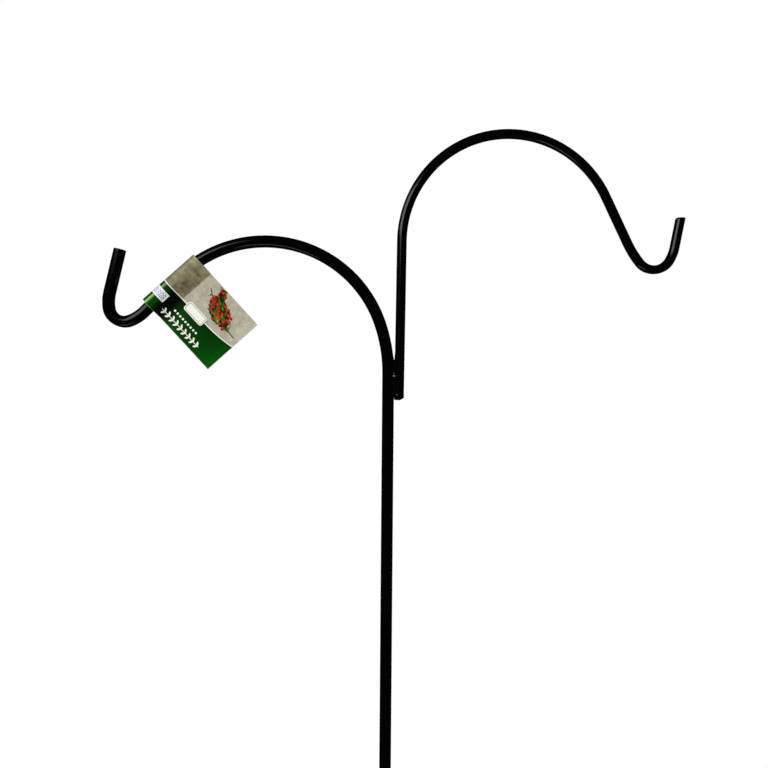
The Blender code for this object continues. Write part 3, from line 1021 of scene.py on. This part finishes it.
def berrySpray(add, colour, spot, across, down):
    # Red berries and dark leaves along a twig, on the front only
    look = printLook
    twigs = []
    soft = look["twigSoftness"]
    for centre, radius, halfWidth, ends, acrossFrom in look["twigs"]:
        away = add("VectorMath", [spot, centre], operation="DISTANCE")
        away = add("Math", [away, radius], operation="SUBTRACT")
        onArc = nearTo(add, away, halfWidth, look["inkEdge"])
        beyond = add("MapRange", [across, acrossFrom - soft, acrossFrom + soft])
        twigs.append(overlap(add, onArc, within(add, down, *ends, soft), beyond))
    twig = add("Math", twigs, operation="MAXIMUM")
    colour = layInk(add, colour, look["twigColour"], twig)

    leafPlace = add(
        "Mapping",
        {"Vector": spot, "Rotation": (0, 0, math.radians(look["leafTurn"])), "Scale": look["leafSize"]},
        vector_type="TEXTURE",
    )
    cells = add("TexVoronoi", {"Vector": leafPlace, "Scale": 1.0}, voronoi_dimensions="2D")
    kind = add("SeparateColor", [cells.outputs["Color"]])
    green = add("ValToRGB", [kind], look["leafStops"])
    green = tone(add, green, cells, *look["leafShade"])
    ragged = add("TexNoise", {"Vector": spot, "Scale": look["raggedScale"], "Detail": 3.0})
    bush = add("Math", [sprayReach(add, spot), ragged], operation="ADD")
    colour = layInk(add, colour, green, add("MapRange", [bush, *look["bushEdge"]]))

    cells = add(
        "TexVoronoi",
        {"Vector": spot, "Scale": 1 / look["berrySpacing"], "Randomness": look["berryScatter"]},
        voronoi_dimensions="2D",
    )
    kind = add("SeparateColor", [cells.outputs["Color"]])
    heart = cells.outputs["Position"]
    fromHeart = add("VectorMath", [spot, heart], operation="DISTANCE")
    outShare = add("Math", [fromHeart, look["berryRadius"]], operation="DIVIDE")
    red = add("ValToRGB", [outShare], look["berryStops"])
    red = tone(add, red, kind, *look["ripeness"])
    onBerry = nearTo(add, fromHeart, look["berryRadius"], look["berrySoftness"])
    grown = add("MapRange", [kind.outputs[1], *look["unset"]])
    inClump = add("MapRange", [sprayReach(add, heart), *look["clumpEdge"]])
    return layInk(add, colour, red, onBerry, grown, inClump)


def barePlaque(add, colour, spot, down):
    # Bare plaque over the panel's edge on the front, with its shadow and a thin green rule
    look = printLook
    across, along = look["plaquePlace"]
    size, rounding, soft = look["plaqueSize"], look["plaqueRounding"], look["inkEdge"]
    front = add("MapRange", [down, -soft, soft])
    shadowPlace = (across - look["shadowShift"], along + look["shadowShift"])
    shadowAway = patchDistance(add, spot, shadowPlace, size, rounding)
    shadow = add("MapRange", [shadowAway, *look["shadowSpan"]])
    colour = layInk(add, colour, look["shadowColour"], shadow, front)
    away = patchDistance(add, spot, (across, along), size, rounding)
    onPlaque = add("MapRange", [away, soft, -soft])
    colour = layInk(add, colour, look["white"], onPlaque, front)
    fromRule = add("Math", [away, look["ruleInset"]], operation="ADD")
    return layInk(add, colour, look["ruleColour"], nearTo(add, fromRule, *look["rule"]), front)


def printedBoard(width, leafLength):
    # Folding boxboard, offset printed and gloss varnished: saturated inks under a thin
    # clear gloss, with the board's faint unevenness showing in the shine
    look = printLook
    material, add, shader = newMaterial("varnishedOffsetPrintOnBoard")
    flat = add("UVMap", uv_map="unrolled")
    # mm from the crook-side edge and mm from the fold, the front leaf positive
    spot = add(
        "Mapping",
        {"Vector": flat, "Location": (0, leafLength, 0), "Scale": (2 * leafLength, -2 * leafLength, 1)},
    )
    across, down, _ = add("SeparateXYZ", [spot]).outputs
    depth = add("Math", [down], operation="ABSOLUTE")
    colour = stoneWall(add, spot, across, depth)
    colour = greenPanel(add, colour, across, depth, leafLength)
    colour = sprigAndDots(add, colour, across, depth)
    colour = berrySpray(add, colour, spot, across, down)
    colour = barePlaque(add, colour, spot, down)

    # The varnish: gloss with a little roll of the board, rubbed at the card's edges
    fibre = add("TexNoise", {"Vector": spot, "Scale": 1 / look["fibreSize"], "Detail": 2.0})
    rub = add("TexNoise", {"Vector": spot, "Scale": look["rubScale"], "Detail": 4.0})
    rim = patchDistance(add, spot, (width / 2, 0), (width, 2 * leafLength), look["cornerRounding"])
    atEdge = add("MapRange", [rim, -look["wornWidth"], 0.0])
    worn = overlap(add, atEdge, add("MapRange", [rub, *look["rubSpan"]]))
    colour = layInk(add, colour, look["wornColour"], worn, look["wornShare"])
    rough = add("MapRange", [fibre, *noiseSpan, *look["varnish"]])
    rough = add("Math", [worn, look["rubDulling"], rough], operation="MULTIPLY_ADD")
    bump = add("Bump", {"Height": fibre, "Distance": look["fibreHeight"]})
    plugIn(shader, {"Base Color": colour, "Roughness": rough, "Normal": bump})
    plugIn(shader, {"IOR": 1.5, "Specular IOR Level": 0.09})  # a thin varnish that mostly sinks in
    return material


# Unprinted side of folding boxboard: warm grey, dull, with short fibres
backLook = {
    "name": "uncoatedBoxboardBack",
    "fibreSize": 0.8 * mm,
    "fibreDetail": (5.0, 0.7),
    "dark": "#b7b0a2",
    "light": "#d4cec2",
    "height": 0.02 * mm,
    "roughness": 0.85,
}
# Die-cut edge of the board: pale layers of pulp, matte, slightly furred by the die
edgeLook = {
    "name": "dieCutBoardEdge",
    "fibreSize": 0.35 * mm,
    "fibreDetail": (3.0, 0.5),
    "dark": "#c8c2b4",
    "light": "#e6e1d6",
    "height": 0.03 * mm,
    "roughness": 0.8,
}


def bareBoard(look):
    material, add, shader = newMaterial(look["name"])
    place = add("TexCoord").outputs["Object"]
    detail, furred = look["fibreDetail"]
    fibre = add(
        "TexNoise",
        {"Vector": place, "Scale": 1 / look["fibreSize"], "Detail": detail, "Roughness": furred},
    )
    colour = layInk(add, look["dark"], look["light"], fibre)
    bump = add("Bump", {"Height": fibre, "Distance": look["height"]})
    plugIn(shader, {"Base Color": colour, "Normal": bump, "Roughness": look["roughness"]})
    return material


# Label over the fold

label = {
    "thickness": 0.12 * mm,
    "edgeBevel": 0.024 * mm,
    "glueGap": 0.1 * mm,
    "columns": 10,
    "flap": 4.5 * mm,
    "flapRows": 4,
    "paper": "#eef1f0",
    "dashDark": "#5f73a0",
    "dashLight": "#93a3c2",
    # The print, in mm
    "dashLength": 2.9,
    "dashRow": 1.9,
    "dashGap": 0.42,
    "dashShift": (0.35, 0.2, 0),
    "margins": (2.6, 3.0),  # both sides together, across and along
    "cornerRounding": 0.2,
    "dashStagger": 0.37,
    "dashSquash": 0.6,
    "fibreSize": 0.5,
    "fibreHeight": 0.006 * mm,
    "roughness": (0.42, 0.56),
}


def labelPaper(width, length):
    # Thermal label paper: bright white, semi-matte, with faint blue-grey printed dashes
    look = label
    material, add, shader = newMaterial("semiGlossLabelPaper")
    flat = add("UVMap", uv_map="unrolled")
    spot = add("Mapping", {"Vector": flat, "Scale": (length, length, 1)})
    dashPlace = add("Mapping", {"Vector": spot, "Location": look["dashShift"]})
    dashes = add(
        "TexBrick",
        {
            "Vector": dashPlace,
            "Color1": look["dashDark"],
            "Color2": look["dashLight"],
            "Mortar": look["paper"],
            "Scale": 1.0,
            "Mortar Size": look["dashGap"],
            "Mortar Smooth": 0.1,
            "Bias": -0.1,
            "Brick Width": look["dashLength"],
            "Row Height": look["dashRow"],
        },
        offset=look["dashStagger"], squash=look["dashSquash"], squash_frequency=3,
    )
    printed = (width - look["margins"][0], length - look["margins"][1])
    border = patchDistance(add, spot, (width / 2, length / 2), printed, look["cornerRounding"])
    margin = add("MapRange", [border, -printLook["inkEdge"], printLook["inkEdge"]])
    colour = layInk(add, dashes, look["paper"], margin)
    fibre = add("TexNoise", {"Vector": spot, "Scale": 1 / look["fibreSize"], "Detail": 3.0})
    rough = add("MapRange", [fibre, 0.0, 1.0, *look["roughness"]])
    bump = add("Bump", {"Height": fibre, "Distance": look["fibreHeight"]})
    plugIn(shader, {"Base Color": colour, "Roughness": rough, "Normal": bump})
    return material


def makeLabel(metrics):
    _, _, (lower, upper) = localBox("tag_sticker")
    width, offset = upper - lower, (upper + lower) / 2
    radius = metrics["outer"] + label["glueGap"] + label["thickness"] / 2
    strip = label["flap"] / 2
    steps = [
        {"run": strip, "rows": label["flapRows"] // 2},
        {"radius": radius, "turn": -180 - 2 * metrics["slope"]},
        {"run": label["flap"], "rows": label["flapRows"]},
    ]
    # The strip is laid level first and then turned onto the slope
    start = Vector((label["flap"], -radius, 0))
    sheet, total = foldSheet("labelOnFold", label["columns"], width, offset, start, strip, steps)
    sheet.data.transform(Matrix.Rotation(math.radians(metrics["slope"]), 4, "Z"))
    thicken(sheet, label, labelPaper(width / mm, total / mm), "tag_sticker")


# Floor, light and camera

studio = {
    "floorRadius": 1.25,
    "floorDrop": 0.5 * mm,
    "floorColour": "#e3e2df",
    "floorFade": (0.35, 0.97),  # shares of the radius between which the floor fades out
    "floorLift": 0.52,  # what the camera sees of the floor besides its lit colour
    "floorInGloss": 0.1,  # the far floor hardly shows in the enamel
    "ambient": 0.34,
    "backdropCone": (14, 5),  # gloss starts to see the backdrop, and sees all of it
    "darkRoom": 0.01,
    "keyPlace": (-1.104, -0.933, 2.3),
    "keyAim": (-0.229, 0.233, 1.616),
    "keySize": (1.52, 0.761),
    "keyRoll": -13.8,
    "keyRadiance": 2.65,
    "fillPlace": (-1.15, -2.1, 2.35),
    "fillSize": (1.3, 1.3),
    "fillRadiance": 5.7,
    "rearPlace": (1.0, 1.9, 2.3),
    "rearSize": (1.4, 1.4),
    "rearRadiance": 3.2,
    "reflectorPlace": (-0.43, -0.60, -0.12),  # a strip of white card low in front
    "reflectorSize": (1.4, 0.15),
    "reflectorRadiance": 3.0,
    "aim": (0.03, 0.0, 1.55),
    "cameraPlace": (-0.0729, -0.7973),
    "cameraRise": 43.1 * mm,  # above the arm's foot
    "cameraTurn": -4.899,
    "cameraTilt": -1.919,
    "cameraRoll": -0.445,
    "lens": 35.163,
}


def seenRays(add):  # rays that should see the pale backdrop itself
    path = add("LightPath").outputs
    mirrored = add("Math", [path["Is Glossy Ray"], path["Is Transmission Ray"]], operation="MAXIMUM")
    return path["Is Camera Ray"], mirrored


def makeFloor():
    place = (0, 0, cadBox[0].z - studio["floorDrop"])
    radius = studio["floorRadius"]
    floor = addShape(
        bpy.ops.mesh.primitive_circle_add, vertices=96, radius=radius, fill_type="NGON", location=place,
    )
    floor.name = "paleFloor"
    material, add, shader = newMaterial("mattePaleFloor")
    nodes = material.node_tree.nodes
    nodes.remove(shader)
    camera, mirrored = seenRays(add)
    place = add("TexCoord").outputs["Object"]
    flat = add("VectorMath", [place, (1, 1, 0)], operation="MULTIPLY")
    away = add("VectorMath", [flat], operation="LENGTH")
    fadeFrom, fadeTo = (radius * share for share in studio["floorFade"])
    edge = add("MapRange", [away, fadeFrom, fadeTo], interpolation_type="SMOOTHSTEP")
    dimmed = add("MapRange", {0: mirrored, 3: 1.0, 4: studio["floorInGloss"]})
    colour = hexColour(studio["floorColour"])[:3]
    shade = add("VectorMath", {0: colour, "Scale": dimmed}, operation="SCALE")
    lift = add("Math", [camera, studio["floorLift"]], operation="MULTIPLY")
    lit = add("BsdfDiffuse", {"Color": shade})
    near = add("AddShader", [lit, add("Emission", {"Strength": lift})])
    backdrop = add("Emission", {"Strength": 1.0})
    far = add("MixShader", [camera, add("BsdfTransparent"), backdrop])
    both = add("MixShader", [edge, near, far])
    plugIn(nodes["Material Output"], {"Surface": both})
    floor.data.materials.append(material)


def addSoftbox(name, place, aim, size, radiance, seenInGloss, roll=0.0):
    # A flat lamp's power is its radiance times pi times its area
    light = bpy.data.lights.new(name, "AREA")
    light.shape = "RECTANGLE"
    light.size, light.size_y = size
    light.energy = radiance * math.pi * size[0] * size[1]
    lamp = bpy.data.objects.new(name, light)
    lamp.location = place
    facing = (Vector(aim) - Vector(place)).to_track_quat("-Z", "Y").to_matrix()
    lamp.rotation_euler = (facing @ Matrix.Rotation(math.radians(roll), 3, "Z")).to_euler()
    lamp.visible_glossy = seenInGloss
    lamp.visible_camera = False
    bpy.context.scene.collection.objects.link(lamp)


def lightStage():
    for name, inGloss in (("key", True), ("fill", False), ("rear", False), ("reflector", True)):
        place, size, radiance = (studio[name + word] for word in ("Place", "Size", "Radiance"))
        aim, roll = studio.get(name + "Aim", studio["aim"]), studio.get(name + "Roll", 0.0)
        addSoftbox(name + "Softbox", place, aim, size, radiance, inGloss, roll)
    world = bpy.data.worlds.new("paleStudio")
    bpy.context.scene.world = world
    world.use_nodes = True
    add = partial(addNode, world.node_tree)
    camera, mirrored = seenRays(add)
    # Gloss sees the white backdrop behind the object and the dark room in front of it
    toBackdrop = add("SeparateXYZ", [add("TexCoord").outputs["Generated"]]).outputs[1]
    outer, inner = (math.cos(math.radians(angle)) for angle in studio["backdropCone"])
    glow = [toBackdrop, outer, inner, studio["darkRoom"], 1.0]
    backdrop = add("MapRange", glow, interpolation_type="SMOOTHSTEP")
    strength = add("Mix", {0: mirrored, 2: studio["ambient"], 3: backdrop})
    strength = add("Mix", {0: camera, 2: strength, 3: 1.0})
    plugIn(world.node_tree.nodes["Background"], {"Color": "#ffffff", "Strength": strength})


def placeCamera():
    data = bpy.data.cameras.new("photoCamera")
    data.lens = studio["lens"]
    data.sensor_width = 36
    data.clip_start = 0.05
    camera = bpy.data.objects.new("photoCamera", data)
    camera.location = (*studio["cameraPlace"], pole["footHeight"] + studio["cameraRise"])
    turns = (90 + studio["cameraTilt"], studio["cameraRoll"], studio["cameraTurn"])
    camera.rotation_euler = [math.radians(turn) for turn in turns]
    bpy.context.scene.collection.objects.link(camera)
    bpy.context.scene.camera = camera


placeCamera()
print("camera placed")
makePole()
makeArm()
makeFork()
print("bars bent")
for side, word in ((-1, "Front"), (1, "Rear")):
    makeBead("armWeldBead" + word, "arm_weld_" + word.lower(), side, armBead)
    makeBead("forkWeldBead" + word, "fork_weld_" + word.lower(), side, forkBead)
print("welds laid")
tagSizes = tagMetrics()
makeCard(tagSizes)
makeLabel(tagSizes)
print("tag folded")
makeFloor()
lightStage()
bpy.context.scene.view_settings.view_transform = "Standard"
print("stage lit")
